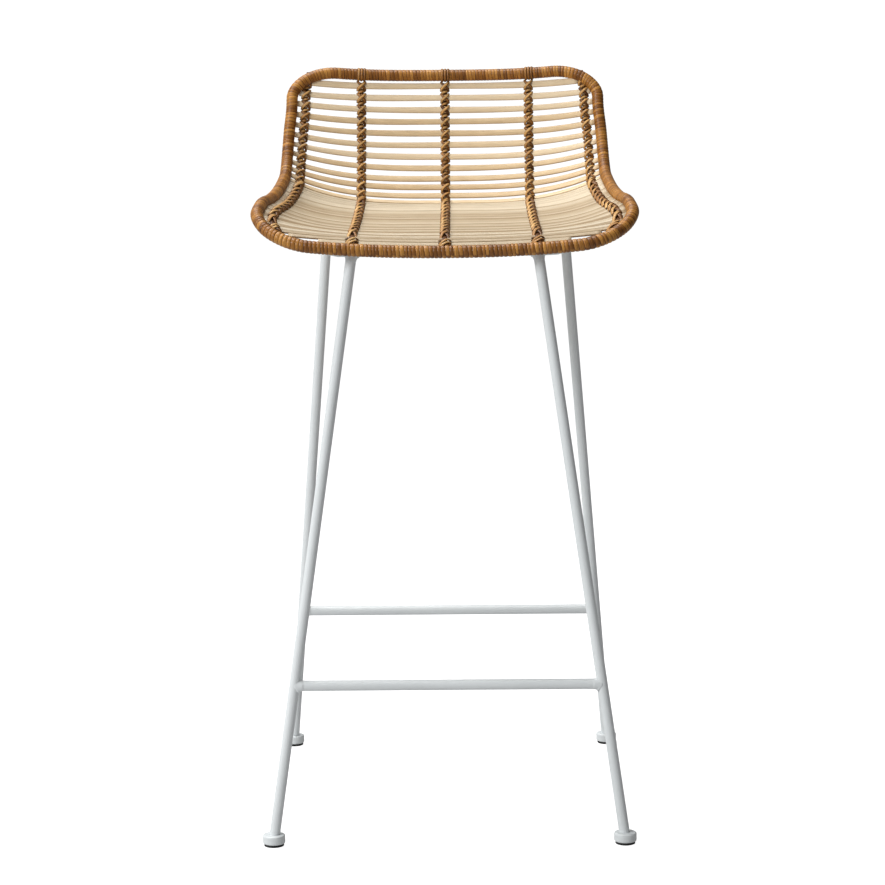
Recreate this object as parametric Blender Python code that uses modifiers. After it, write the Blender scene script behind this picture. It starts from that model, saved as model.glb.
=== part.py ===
"""Counter-height bar stool: a wrapped rattan scoop seat on a welded steel rod base with a footrest.

Metres, +Z up. The stool faces -Y and is symmetric about X = 0. Left is -X, the side on the left of
someone who looks at the stool's front. The origin is on the floor, in the middle of the footprint.

The seat shell is one smooth surface, shell_point(x, s). s is the length along its middle line, from the
top rail down the back, round the bend and forward to the front rail. Slats lie in that surface, ribs run
under it, lashings lie on it, and the wrapped rim follows its edge.
"""

import math

import bmesh
import bpy
import numpy as np
from mathutils import Vector

# Base: feet, legs and bars
FEET_SPACING_DEPTH = 0.443
FRONT_FEET_SPACING = 0.398
REAR_FEET_SPACING = 0.404
FRONT_LEG_TOP_INSET = 0.071
REAR_LEG_TOP_INSET = 0.0315
LEG_RADIUS = 0.006
BAR_RADIUS = 0.006
BAR_HEIGHT = 0.182
CAP_RADIUS = 0.0128
CAP_HEIGHT = 0.0102
CAP_ROUNDING = 0.0018
CAP_FLOOR = 0.0035
PAD_RADIUS = 0.0113
PAD_THICKNESS = 0.0025
PAD_ROUNDING = 0.0006

# Ring under the seat, which slopes up to the back and, like the seat, up to its sides
RING_RADIUS = 0.004
RING_DROP = 0.0025
RING_RISE = 0.0172
RING_REAR_INSET = 0.0881
RING_SIDE_INSET = 0.0372
RING_CORNER = 0.050
RING_TO_RIM = 0.0067
RING_SIDE_LIFT = 0.012
RING_LIFT_REACH = 0.060
RING_POINTS = 64

# Seat shell: the rim's centre line and the surface inside it
SEAT_FRONT_HEIGHT = 0.6693
SHELL_FRONT_INSET = 0.030
SHELL_WIDTH = 0.4244
SHELL_DEPTH = 0.400
BACK_HEIGHT = 0.1890
SIDE_WRAP = 0.034
SIDE_LIFT = 0.035
TOP_CORNER = (0.052, 0.038)
FRONT_CORNER = (0.064, 0.062)
RIM_CORE_RADIUS = 0.005
RIM_FRONT_RADIUS = 0.0072
RIM_BACK_RADIUS = 0.0071
RIM_TAPER = (0.050, 0.130)

# Cane and ribs
SLAT_THICKNESS = 0.0024
BACK_SLATS = 12
BACK_SLAT_WIDTH = 0.0070
EVEN_BACK_SLATS = 9
BACK_SLAT_PITCH = 0.0149
LOWER_SLAT_PITCH = 0.0122
FIRST_SLAT_DROP = 0.0138
SEAT_START_GAP = 0.0018
SEAT_MATS = 9
SEAT_MAT_ROWS = 5
RIB_RADIUS = 0.003
INNER_RIB_X = 0.1035
OUTER_RIB_INSET = 0.017
OUTER_RIB_TURN = 0.030
LASHING_WIDTH = 0.0095
LASHING_THICKNESS = 0.0012

# Fits
GAP = 0.0003
END_CLEARANCE = 0.0010
RIB_END_CLEARANCE = 0.0022
RIB_CLEARANCE = 0.0009
WRAP_CLEARANCE = 0.0006
WRAP_END_GAP = 0.0006
LASHING_CLEARANCE = 0.0007

# Rows from the top rail to the front rail. Columns: the middle line's share of SHELL_DEPTH and of
# BACK_HEIGHT, the side's share of half of SHELL_WIDTH, of SIDE_WRAP and of SIDE_LIFT, and the power of
# the curve by which a slat rises to the side.
STATIONS = np.array(
    (
        (1.0000, 1.0000, 0.867, 0.50, 0.290, 3.0),
        (0.9850, 0.8762, 0.887, 0.50, 0.250, 3.0),
        (0.9700, 0.7254, 0.891, 0.66, 0.345, 3.0),
        (0.9500, 0.5735, 0.903, 0.74, 0.470, 3.0),
        (0.9250, 0.4254, 0.910, 0.79, 0.630, 3.0),
        (0.8875, 0.2910, 0.915, 0.82, 0.785, 3.0),
        (0.8500, 0.1947, 0.918, 0.97, 0.960, 3.2),
        (0.8000, 0.1635, 0.924, 1.00, 0.970, 3.5),
        (0.7125, 0.1492, 0.932, 0.82, 0.890, 3.8),
        (0.4250, 0.1074, 0.960, 0.24, 0.850, 4.0),
        (0.2250, 0.0915, 0.990, 0.00, 0.850, 4.0),
        (0.1000, 0.0788, 1.000, 0.00, 0.590, 3.0),
        (0.0375, 0.0530, 1.000, 0.00, 0.370, 2.2),
        (0.0000, 0.0000, 1.000, 0.00, 0.400, 2.2),
    )
)

# The rim's line in even steps from the middle of the front rail, and the points at which its front and
# side wrappings end
RIM_POINTS = 76
FRONT_WRAP_POINT = 5
SIDE_WRAP_POINT = 32

ACROSS_SEGMENTS = 22
RIM_FINE_STEPS = 160
RIB_POINT_SPACING = 0.011
LASHING_ROWS = 41
TUBE_RESOLUTION = 2
ROD_SEGMENTS = 28

FRONT_Y = -FEET_SPACING_DEPTH / 2
REAR_Y = FEET_SPACING_DEPTH / 2
SHELL_FRONT_Y = FRONT_Y + SHELL_FRONT_INSET
RING_FRONT_Y = SHELL_FRONT_Y + RIM_FRONT_RADIUS + RING_RADIUS + RING_TO_RIM
RING_REAR_Y = SHELL_FRONT_Y + SHELL_DEPTH - RING_REAR_INSET
RING_HALF_WIDTH = SHELL_WIDTH / 2 - RING_SIDE_INSET
CAP_BOTTOM = PAD_THICKNESS + GAP


# ---- Scene and materials ----


def clear_scene():
    for obj in list(bpy.data.objects):
        bpy.data.objects.remove(obj)


def new_collection(name):
    collection = bpy.data.collections.new(name)
    bpy.context.scene.collection.children.link(collection)
    return collection


def finish_material(name, colour, roughness, metallic=0.0):
    material = bpy.data.materials.new(name)
    material.use_nodes = True
    shader = material.node_tree.nodes["Principled BSDF"]
    shader.inputs["Base Color"].default_value = (*colour, 1.0)
    shader.inputs["Roughness"].default_value = roughness
    shader.inputs["Metallic"].default_value = metallic
    return material


clear_scene()
PARTS = new_collection("bar_stool")
CUTTERS = new_collection("cutters")
CUTTERS.hide_render = True

WHITE_STEEL = finish_material("white_powder_coat", (0.84, 0.85, 0.85), 0.38)
BLACK_PAD = finish_material("black_pad", (0.02, 0.02, 0.02), 0.70)
RATTAN_PEEL = finish_material("rattan_peel", (0.42, 0.20, 0.07), 0.42)
LASHING_PEEL = finish_material("lashing_peel", (0.33, 0.15, 0.05), 0.50)
CANE = finish_material("cane", (0.70, 0.52, 0.30), 0.48)


# ---- Shell surface ----


def middle_line_knots():
    """Each station's place along the middle line, as a length from the top rail."""
    steps = np.diff(STATIONS[:, :2] * (SHELL_DEPTH, BACK_HEIGHT), axis=0)
    return np.concatenate(([0.0], np.cumsum(np.linalg.norm(steps, axis=1))))


KNOTS = middle_line_knots()
SLOPES = np.gradient(STATIONS, KNOTS, axis=0)
SHELL_LENGTH = KNOTS[-1]


def station(s):
    """The columns of STATIONS at length s, read from a smooth curve through its rows."""
    row = int(np.clip(np.searchsorted(KNOTS, s) - 1, 0, len(KNOTS) - 2))
    span = KNOTS[row + 1] - KNOTS[row]
    t = (s - KNOTS[row]) / span
    start = STATIONS[row] * (1 + 2 * t) + SLOPES[row] * span * t
    end = STATIONS[row + 1] * (3 - 2 * t) - SLOPES[row + 1] * span * (1 - t)
    return start * (1 - t) ** 2 + end * t**2


def side_half_width(s):
    return station(s)[2] * SHELL_WIDTH / 2


def shell_point(x, s):
    depth, height, width, wrap, lift, power = station(s)
    share = abs(x) / (width * SHELL_WIDTH / 2)
    return Vector(
        (
            x,
            SHELL_FRONT_Y + depth * SHELL_DEPTH - wrap * SIDE_WRAP * share**2,
            SEAT_FRONT_HEIGHT + height * BACK_HEIGHT + lift * SIDE_LIFT * share**power,
        )
    )


def shell_normal(x, s):
    """Unit normal on the sitter's side."""
    step = 0.0005
    across = shell_point(x + step, s) - shell_point(x - step, s)
    along = shell_point(x, s + step) - shell_point(x, s - step)
    return along.cross(across).normalized()


def corner_inset(distance, across, along):
    """How far a rounded corner pulls the edge in, at a distance from the end rail."""
    short = max(0.0, 1 - distance / along)
    return across * (1 - math.sqrt(1 - short**2))


def rim_half_width(s):
    top = corner_inset(s, *TOP_CORNER)
    front = corner_inset(SHELL_LENGTH - s, *FRONT_CORNER)
    return side_half_width(s) - top - front


def resample(points, count, closed):
    """Points at an even spacing along a line of points."""
    line = np.array(points + points[:1] if closed else points)
    place = np.concatenate(([0.0], np.cumsum(np.linalg.norm(np.diff(line, axis=0), axis=1))))
    wanted = np.linspace(0.0, place[-1], count, endpoint=not closed)
    return [Vector(p) for p in np.column_stack([np.interp(wanted, place, line[:, k]) for k in range(3)])]


def rim_line():
    """The rim's closed centre line, clockwise from above, from the middle of the front rail to the left."""
    ease = [0.5 - 0.5 * math.cos(math.pi * k / RIM_FINE_STEPS) for k in range(RIM_FINE_STEPS + 1)]
    side = [(rim_half_width(SHELL_LENGTH * e), SHELL_LENGTH * e) for e in ease]
    front = np.linspace(0.0, side[-1][0], RIM_FINE_STEPS // 4)[:-1]
    top = np.linspace(side[0][0], 0.0, RIM_FINE_STEPS // 4)[1:]
    half = [(x, SHELL_LENGTH) for x in front] + side[::-1] + [(x, 0.0) for x in top]
    left = [shell_point(-x, s) for x, s in half]
    right = [shell_point(x, s) for x, s in half[::-1][1:-1]]
    return left + right


RIM_FINE = rim_line()
RIM_ARRAY = np.array(RIM_FINE)
RIM_LINE = resample(RIM_FINE, RIM_POINTS, closed=True)


def eased(value, start, end):
    """0 up to start, 1 from end on, and a smooth step between them."""
    share = min(1.0, max(0.0, (value - start) / (end - start)))
    return share * share * (3 - 2 * share)


def rim_radius(point):
    """The wrapped rim's radius, which eases from the front rail's to the back's along the sides."""
    taper = eased(point.y - SHELL_FRONT_Y, *RIM_TAPER)
    return RIM_FRONT_RADIUS + (RIM_BACK_RADIUS - RIM_FRONT_RADIUS) * taper


def clear_of_rim(point):
    """The distance from a point to the rim's wrapping."""
    distance = float(np.linalg.norm(RIM_ARRAY - np.array(point), axis=1).min())
    return distance - rim_radius(point)


def reach_to_rim(s, clearance):
    """The largest x at length s that stays this clear of the rim's wrapping."""
    low, high = 0.0, rim_half_width(s)
    for _ in range(24):
        middle = (low + high) / 2
        if clear_of_rim(shell_point(middle, s)) < clearance:
            high = middle
        else:
            low = middle
    return low


# ---- Mesh helpers ----


def add_object(name, data, material, collection=PARTS):
    obj = bpy.data.objects.new(name, data)
    collection.objects.link(obj)
    obj.data.materials.append(material)
    return obj


def smooth(mesh, angle=35):
    mesh.shade_smooth()
    mesh.set_sharp_from_angle(angle=math.radians(angle))


def tube(name, points, radius, material, closed=False, capped=True, resolution=TUBE_RESOLUTION, taper=None):
    """A round tube along points. taper(point) gives its radius at each as a share of radius."""
    curve = bpy.data.curves.new(name, "CURVE")
    curve.dimensions = "3D"
    curve.bevel_depth = radius
    curve.bevel_resolution = resolution
    curve.use_fill_caps = capped and not closed
    spline = curve.splines.new("POLY")
    spline.points.add(len(points) - 1)
    for spline_point, point in zip(spline.points, points):
        spline_point.co = (*point, 1.0)
        spline_point.radius = taper(point) if taper else 1.0
    spline.use_cyclic_u = closed
    return add_object(name, curve, material)


def to_mesh(obj):
    """The object's evaluated shape as a mesh object of the same name, with its caps welded."""
    bpy.context.view_layer.update()
    graph = bpy.context.evaluated_depsgraph_get()
    mesh = bpy.data.meshes.new_from_object(obj.evaluated_get(graph))
    welded = bmesh.new()
    welded.from_mesh(mesh)
    bmesh.ops.remove_doubles(welded, verts=welded.verts, dist=0.00001)
    welded.to_mesh(mesh)
    welded.free()
    name, matrix = obj.name, obj.matrix_world.copy()
    collection = obj.users_collection[0]
    bpy.data.objects.remove(obj)
    made = bpy.data.objects.new(name, mesh)
    made.matrix_world = matrix
    collection.objects.link(made)
    return made


def rod(name, start, end, radius, material, collection=PARTS):
    """A straight round rod between two points."""
    mesh = bpy.data.meshes.new(name)
    shape = bmesh.new()
    bmesh.ops.create_cone(
        shape,
        cap_ends=True,
        segments=ROD_SEGMENTS,
        radius1=radius,
        radius2=radius,
        depth=(end - start).length,
    )
    shape.to_mesh(mesh)
    shape.free()
    smooth(mesh)
    obj = add_object(name, mesh, material, collection)
    obj.location = (start + end) / 2
    obj.rotation_mode = "QUATERNION"
    obj.rotation_quaternion = (end - start).to_track_quat("Z", "Y")
    return obj


def as_cutter(obj):
    for collection in list(obj.users_collection):
        collection.objects.unlink(obj)
    CUTTERS.objects.link(obj)
    obj.hide_render = True
    obj.display_type = "WIRE"
    return obj


def cut(obj, cutter):
    modifier = obj.modifiers.new(f"cut_by_{cutter.name}", "BOOLEAN")
    modifier.operation = "DIFFERENCE"
    modifier.object = cutter
    modifier.solver = "EXACT"


def turned(name, profile, material):
    """A solid turned about Z from a profile of (radius, height), listed from the top down."""
    mesh = bpy.data.meshes.new(name)
    outline = bmesh.new()
    verts = [outline.verts.new((radius, 0.0, height)) for radius, height in profile]
    for first, second in zip(verts, verts[1:]):
        outline.edges.new((first, second))
    outline.to_mesh(mesh)
    outline.free()
    obj = add_object(name, mesh, material)
    screw = obj.modifiers.new("turn", "SCREW")
    screw.steps = ROD_SEGMENTS
    screw.render_steps = ROD_SEGMENTS
    screw.use_merge_vertices = True
    screw.merge_threshold = 0.00001
    screw.use_smooth_shade = True
    return obj


def rounded_disc_profile(radius, bottom, top, rounding, steps=4):
    """Half section of a disc with rounded edges, from the middle of its top to the middle of its base."""
    turns = [math.pi / 2 * k / steps for k in range(steps + 1)]
    upper = [(radius - rounding * (1 - math.sin(a)), top - rounding * (1 - math.cos(a))) for a in turns]
    lower = [(radius - rounding * (1 - math.cos(a)), bottom + rounding * (1 - math.sin(a))) for a in turns]
    return [(0.0, top)] + upper + lower + [(0.0, bottom)]


def shell_strip(name, edges, reach, middle, thickness, lift, material, segments=ACROSS_SEGMENTS):
    """A strip of the shell. edges are its lengths s, reach(s) its half width in x, about middle(s).

    lift is its middle surface's height above the shell."""
    mesh = bpy.data.meshes.new(name)
    grid = bmesh.new()
    bmesh.ops.create_grid(grid, x_segments=segments, y_segments=len(edges) - 1, size=1.0)
    for vert in grid.verts:
        row = (vert.co.y + 1) / 2 * (len(edges) - 1)
        s = edges[round(row)]
        x = middle(s) + vert.co.x * reach(s)
        vert.co = shell_point(x, s) + shell_normal(x, s) * lift
    grid.to_mesh(mesh)
    grid.free()
    smooth(mesh)
    obj = add_object(name, mesh, material)
    solid = obj.modifiers.new("thickness", "SOLIDIFY")
    solid.thickness = thickness
    solid.offset = 0.0
    return obj


# ---- Base ----


def ring_height(x, y):
    slope = RING_RISE / (RING_REAR_Y - RING_FRONT_Y)
    lift = RING_SIDE_LIFT * eased(abs(x), RING_HALF_WIDTH - RING_LIFT_REACH, RING_HALF_WIDTH)
    return SEAT_FRONT_HEIGHT - RING_DROP + slope * (y - RING_FRONT_Y) + lift


def leg_line(corner):
    """The leg's foot and top, on its centre line. The top is on the ring's centre line."""
    end, side = corner
    if end == "front":
        foot_x, foot_y = FRONT_FEET_SPACING / 2, FRONT_Y
        top_x, top_y = RING_HALF_WIDTH - FRONT_LEG_TOP_INSET, RING_FRONT_Y
    else:
        foot_x, foot_y = REAR_FEET_SPACING / 2, REAR_Y
        top_x, top_y = RING_HALF_WIDTH - REAR_LEG_TOP_INSET, RING_REAR_Y
    foot = Vector((side * foot_x, foot_y, CAP_BOTTOM + CAP_FLOOR))
    return foot, Vector((side * top_x, top_y, ring_height(top_x, top_y)))


CORNERS = {
    "front_left": ("front", -1),
    "front_right": ("front", 1),
    "rear_left": ("rear", -1),
    "rear_right": ("rear", 1),
}


def ring_line():
    """A rounded rectangle, seen from above, with even steps along it."""
    steps = 16
    half = RING_HALF_WIDTH - RING_CORNER
    centres = (
        (half, RING_FRONT_Y + RING_CORNER, -90),
        (half, RING_REAR_Y - RING_CORNER, 0),
        (-half, RING_REAR_Y - RING_CORNER, 90),
        (-half, RING_FRONT_Y + RING_CORNER, 180),
    )
    outline = []
    for x, y, start in centres:
        for k in range(steps + 1):
            turn = math.radians(start + 90 * k / steps)
            outline.append(Vector((x + RING_CORNER * math.cos(turn), y + RING_CORNER * math.sin(turn), 0.0)))
    flat = resample(outline, RING_POINTS, closed=True)
    return [Vector((point.x, point.y, ring_height(point.x, point.y))) for point in flat]


def make_ring():
    points = ring_line()
    tube("under_seat_ring", points, RING_RADIUS, WHITE_STEEL, closed=True, resolution=3)
    cutter = tube("ring_clearance", points, RING_RADIUS + GAP, WHITE_STEEL, closed=True, resolution=3)
    return as_cutter(to_mesh(cutter))


def make_legs(ring_cutter):
    """Legs, coped to the ring, and a cutter along each for what fits to it."""
    cutters = {}
    for corner, place in CORNERS.items():
        foot, top = leg_line(place)
        leg = rod(f"leg_{corner}", foot, top, LEG_RADIUS, WHITE_STEEL)
        cut(leg, ring_cutter)
        below = foot - (top - foot).normalized() * GAP
        cutter = rod(f"leg_clearance_{corner}", below, top, LEG_RADIUS + GAP, WHITE_STEEL)
        cutters[corner] = as_cutter(cutter)
    return cutters


def make_bar(name, left, right, cutters):
    """A bar from leg to leg, coped at both ends."""
    ends = []
    for corner in (left, right):
        foot, top = leg_line(CORNERS[corner])
        ends.append(foot.lerp(top, (BAR_HEIGHT - foot.z) / (top.z - foot.z)))
    bar = rod(name, ends[0], ends[1], BAR_RADIUS, WHITE_STEEL)
    cut(bar, cutters[left])
    cut(bar, cutters[right])


def make_feet(cutters):
    cap_profile = rounded_disc_profile(CAP_RADIUS, CAP_BOTTOM, CAP_BOTTOM + CAP_HEIGHT, CAP_ROUNDING)
    pad_profile = rounded_disc_profile(PAD_RADIUS, 0.0, PAD_THICKNESS, PAD_ROUNDING, steps=2)
    for corner, place in CORNERS.items():
        foot, _ = leg_line(place)
        cap = turned(f"foot_cap_{corner}", cap_profile, WHITE_STEEL)
        cap.location = (foot.x, foot.y, 0.0)
        cut(cap, cutters[corner])
        pad = turned(f"foot_pad_{corner}", pad_profile, BLACK_PAD)
        pad.location = (foot.x, foot.y, 0.0)


# ---- Rim ----


def make_rim():
    tube("rim_core", RIM_LINE, RIM_CORE_RADIUS, WHITE_STEEL, closed=True)
    stretches = {
        "front": (-FRONT_WRAP_POINT, FRONT_WRAP_POINT),
        "left": (FRONT_WRAP_POINT, SIDE_WRAP_POINT),
        "top": (SIDE_WRAP_POINT, RIM_POINTS - SIDE_WRAP_POINT),
        "right": (RIM_POINTS - SIDE_WRAP_POINT, RIM_POINTS - FRONT_WRAP_POINT),
    }
    for side, (first, last) in stretches.items():
        line = [RIM_LINE[k % RIM_POINTS].copy() for k in range(first, last + 1)]
        line[0] += (line[1] - line[0]).normalized() * WRAP_END_GAP
        line[-1] += (line[-2] - line[-1]).normalized() * WRAP_END_GAP
        wrap = tube(
            f"rim_wrap_{side}",
            line,
            RIM_BACK_RADIUS,
            RATTAN_PEEL,
            capped=False,
            taper=lambda point: rim_radius(point) / RIM_BACK_RADIUS,
        )
        wrap = to_mesh(wrap)
        smooth(wrap.data, 60)
        solid = wrap.modifiers.new("thickness", "SOLIDIFY")
        solid.thickness = RIM_BACK_RADIUS - RIM_CORE_RADIUS - WRAP_CLEARANCE
        solid.offset = -1.0
        solid.use_even_offset = True


# ---- Slats, ribs and lashings ----


def in_the_middle(s):
    return 0.0


def slat_reach(s):
    return reach_to_rim(s, END_CLEARANCE)


def back_slat_place(index):
    """The slat's middle, as a length from the top rail. The lowest slats lie closer together."""
    even = min(index, EVEN_BACK_SLATS - 1)
    return FIRST_SLAT_DROP + even * BACK_SLAT_PITCH + (index - even) * LOWER_SLAT_PITCH


def make_back_slats():
    for index in range(BACK_SLATS):
        s = back_slat_place(index)
        edges = (s - BACK_SLAT_WIDTH / 2, s + BACK_SLAT_WIDTH / 2)
        name = f"back_slat_{index + 1:02d}"
        shell_strip(name, edges, slat_reach, in_the_middle, SLAT_THICKNESS, 0.0, CANE)


def seat_span():
    """Where the close-laid seat slats start and end along the middle line."""
    start = back_slat_place(BACK_SLATS - 1) + BACK_SLAT_WIDTH / 2 + SEAT_START_GAP
    return start, SHELL_LENGTH - RIM_FRONT_RADIUS - END_CLEARANCE - GAP


def make_seat_mats():
    """Seat slats touch edge to edge, so each run of them is one body."""
    start, end = seat_span()
    width = (end - start) / SEAT_MATS
    for index in range(SEAT_MATS):
        edges = np.linspace(start + index * width, start + (index + 1) * width - GAP, SEAT_MAT_ROWS)
        name = f"seat_slats_{index + 1}"
        shell_strip(name, edges, slat_reach, in_the_middle, SLAT_THICKNESS, 0.0, CANE)


def outer_rib_x(s):
    turn = corner_inset(SHELL_LENGTH - s, OUTER_RIB_TURN, FRONT_CORNER[1])
    return side_half_width(s) - OUTER_RIB_INSET - turn


RIBS = {
    "centre": in_the_middle,
    "inner_left": lambda s: -INNER_RIB_X,
    "inner_right": lambda s: INNER_RIB_X,
    "outer_left": lambda s: -outer_rib_x(s),
    "outer_right": outer_rib_x,
}


def rib_span(across, clearance, spread=0.0):
    """The first and last s at which a line, and both edges of a strip on it, are clear of the rim."""
    clear = []
    for s in np.linspace(0.0, SHELL_LENGTH, 261):
        edges = (across(s) - spread, across(s) + spread)
        if all(clear_of_rim(shell_point(x, s)) > clearance for x in edges):
            clear.append(s)
    return clear[0], clear[-1]


def make_ribs():
    depth = SLAT_THICKNESS / 2 + RIB_CLEARANCE + RIB_RADIUS
    for name, across in RIBS.items():
        first, last = rib_span(across, RIB_END_CLEARANCE)
        fine = np.linspace(first, last, 200)
        line = [shell_point(across(s), s) - shell_normal(across(s), s) * depth for s in fine]
        count = round(SHELL_LENGTH / RIB_POINT_SPACING)
        points = resample(line, count, closed=False)
        tube(f"rib_{name}", points, RIB_RADIUS, WHITE_STEEL, resolution=1)


def make_lashings():
    lift = SLAT_THICKNESS / 2 + LASHING_CLEARANCE + LASHING_THICKNESS / 2
    for name, across in RIBS.items():
        first, last = rib_span(across, END_CLEARANCE + 0.001, LASHING_WIDTH / 2)
        edges = np.linspace(first, last, LASHING_ROWS)
        shell_strip(
            f"lashing_{name}",
            edges,
            lambda s: LASHING_WIDTH / 2,
            across,
            LASHING_THICKNESS,
            lift,
            LASHING_PEEL,
            segments=2,
        )


ring_cutter = make_ring()
leg_cutters = make_legs(ring_cutter)
make_bar("footrest_bar_front", "front_left", "front_right", leg_cutters)
make_bar("crossbar_rear", "rear_left", "rear_right", leg_cutters)
make_feet(leg_cutters)
make_rim()
make_back_slats()
make_seat_mats()
make_ribs()
make_lashings()
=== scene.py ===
"""Looks for the rattan and steel bar stool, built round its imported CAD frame. Metres, +Z up, front at -Y."""

import math

import bpy
import numpy as np
from mathutils import Matrix, Vector


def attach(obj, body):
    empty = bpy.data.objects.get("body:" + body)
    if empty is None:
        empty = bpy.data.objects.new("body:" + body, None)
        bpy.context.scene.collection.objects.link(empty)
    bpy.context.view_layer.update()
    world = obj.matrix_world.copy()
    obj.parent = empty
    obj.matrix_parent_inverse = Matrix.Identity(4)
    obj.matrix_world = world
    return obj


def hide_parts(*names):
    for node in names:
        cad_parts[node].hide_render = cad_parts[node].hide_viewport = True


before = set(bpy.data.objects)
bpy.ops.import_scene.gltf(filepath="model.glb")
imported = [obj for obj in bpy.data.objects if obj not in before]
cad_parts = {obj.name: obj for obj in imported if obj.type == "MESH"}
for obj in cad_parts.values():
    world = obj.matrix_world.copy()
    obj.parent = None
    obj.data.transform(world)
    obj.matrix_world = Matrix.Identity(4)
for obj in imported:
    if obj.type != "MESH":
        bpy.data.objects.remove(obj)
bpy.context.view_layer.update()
rng = np.random.default_rng(11)

# Seat shell, as the CAD model has it
SHELL_FRONT_Y = -0.1915
SEAT_FRONT_HEIGHT = 0.6693
SHELL_WIDTH = 0.4244
SHELL_DEPTH = 0.400
BACK_HEIGHT = 0.1890
SIDE_WRAP = 0.034
SIDE_LIFT = 0.035
TOP_CORNER = (0.052, 0.038)
FRONT_CORNER = (0.064, 0.062)
RIM_FRONT_RADIUS = 0.0072
RIM_BACK_RADIUS = 0.0071
RIM_TAPER = (0.050, 0.130)

# Rows from the top rail to the front rail. Columns: the middle line's share of SHELL_DEPTH and of
# BACK_HEIGHT, the side's share of half of SHELL_WIDTH, of SIDE_WRAP and of SIDE_LIFT, and the power
# of the lift's rise from the middle to the side.
STATIONS = np.array(
    (
        (1.0000, 1.0000, 0.867, 0.50, 0.290, 3.0),
        (0.9850, 0.8762, 0.887, 0.50, 0.250, 3.0),
        (0.9700, 0.7254, 0.891, 0.66, 0.345, 3.0),
        (0.9500, 0.5735, 0.903, 0.74, 0.470, 3.0),
        (0.9250, 0.4254, 0.910, 0.79, 0.630, 3.0),
        (0.8875, 0.2910, 0.915, 0.82, 0.785, 3.0),
        (0.8500, 0.1947, 0.918, 0.97, 0.960, 3.2),
        (0.8000, 0.1635, 0.924, 1.00, 0.970, 3.5),
        (0.7125, 0.1492, 0.932, 0.82, 0.890, 3.8),
        (0.4250, 0.1074, 0.960, 0.24, 0.850, 4.0),
        (0.2250, 0.0915, 0.990, 0.00, 0.850, 4.0),
        (0.1000, 0.0788, 1.000, 0.00, 0.590, 3.0),
        (0.0375, 0.0530, 1.000, 0.00, 0.370, 2.2),
        (0.0000, 0.0000, 1.000, 0.00, 0.400, 2.2),
    )
)

# Slats and ribs, as the CAD model has them
SLAT_THICKNESS = 0.0024
BACK_SLATS = 12
BACK_SLAT_WIDTH = 0.0070
EVEN_BACK_SLATS = 9
BACK_SLAT_PITCH = 0.0149
LOWER_SLAT_PITCH = 0.0122
FIRST_SLAT_DROP = 0.0138
SEAT_START_GAP = 0.0018
SEAT_MATS = 9
SLATS_PER_MAT = 5
RIB_DEPTH = SLAT_THICKNESS / 2 + 0.0039
INNER_RIB_X = 0.1035
OUTER_RIB_INSET = 0.017
OUTER_RIB_TURN = 0.030

# The ribs' wrapping, a little thicker than the bare rib
RIB_RADIUS = 0.0034
RIB_ENDS = (0.002, 0.003)

# How far the last slats stop short of the rim at the front corners, counted from the front rail
CORNER_GAPS = {1: 0.034, 2: 0.012}

# Slats: a back slat is a little wider than its CAD solid, and some seat slats are dark seams
BACK_SLAT_SHOWN = 0.0077
BACK_SLAT_WANDER = 0.0003
SEAT_SLAT_SHARE = 0.985
SEAT_END_GAP = 0.0013
DARK_SLAT_CHANCE = 0.27
DARK_SLAT_DROP = 0.75
SLAT_COLUMNS = 64
SLAT_SIDES = 12
RIM_OVERLAP = 0.0015
LEAST_REACH = 0.05
REACH_STEPS = 120

# Peel round the rim and the ribs: turn width, how far a turn's edges drop, points a turn
FRONT_TURN_WIDTH = 0.0048
BACK_TURN_WIDTH = 0.0043
FRONT_TURN_CROWN = 0.0006
BACK_TURN_CROWN = 0.0003
RIM_TURN_POINTS = 22
RIM_TURN_JITTER = 0.28
RIB_TURN_WIDTH = 0.0032
RIB_TURN_CROWN = 0.0006
RIB_TURN_POINTS = 12
RIB_TURN_JITTER = 0.2
PEEL_COLUMNS = 7
CROWN_POWER = 2.4
RIM_MIDDLE_HEIGHT = 0.76

# Where the rim's turns start to narrow and to flatten behind the front rail, and over what depth
NARROWING = (0.06, 0.05)
FLATTENING = (0.05, 0.08)

# The shortest step used to find a line's direction
LINE_STEP = 0.0008

# Peel tied over the top rail where a rib starts
TIE_TURNS = 3
TIE_PITCH = 0.0031
TIE_HALF_WIDTH = 0.0017
TIE_RISE = 0.0012
TIE_CROWN = 0.0009
TIE_POINTS = 28
TIE_STAGGER = 0.0005
TIE_DARKENING = 0.25
TOP_RAIL_LOW = 0.84

# Crossed strands that tie a back slat to its rib, and the knob of peel between two slats
STRAND_THICKNESS = 0.0017
STRAND_SIDES = 8
UPPER_STRAND_LIFT = 0.0011
BACK_CROSS_HALF = 0.0041
BACK_CROSS_REACH = 0.0054
BACK_CROSS_TOP = 0.0036
BACK_CROSS_LOW = -0.0030
BACK_STRAND_WIDTH = 0.0034
KNOB_HALF = 0.0034
KNOB_WIDTH = 0.0034
KNOB_SHIFT = -0.0002

# Lashing over the seat's close-laid slats
SEAT_STRAND_PITCH = 0.0262
SEAT_STRAND_REACH = 0.0126
RIDGE_WIDTH = 0.0082
RIDGE_HEIGHT = 0.0052
RIDGE_LOW = -0.0006
SEAT_STRAND_WIDTH = 0.0036
SEAT_STRAND_SHIFTS = (-0.0024, 0.0024)
SEAT_LASHING_START = 0.0085
SEAT_LASHING_END = 0.0035
SEAT_LASHING_TAIL = 0.006
TAIL_SPREAD = 0.40
TAIL_SPREAD_LENGTH = 0.012
CORE_LEVEL = 0.20
CORE_WIDTH = 0.72
CORE_THICKNESS = 0.44

# Rim stretches, as shares of the rim's length either way from the middle of the front rail
FRONT_SHARE = 5 / 76
SIDE_SHARE = 32 / 76

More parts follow.
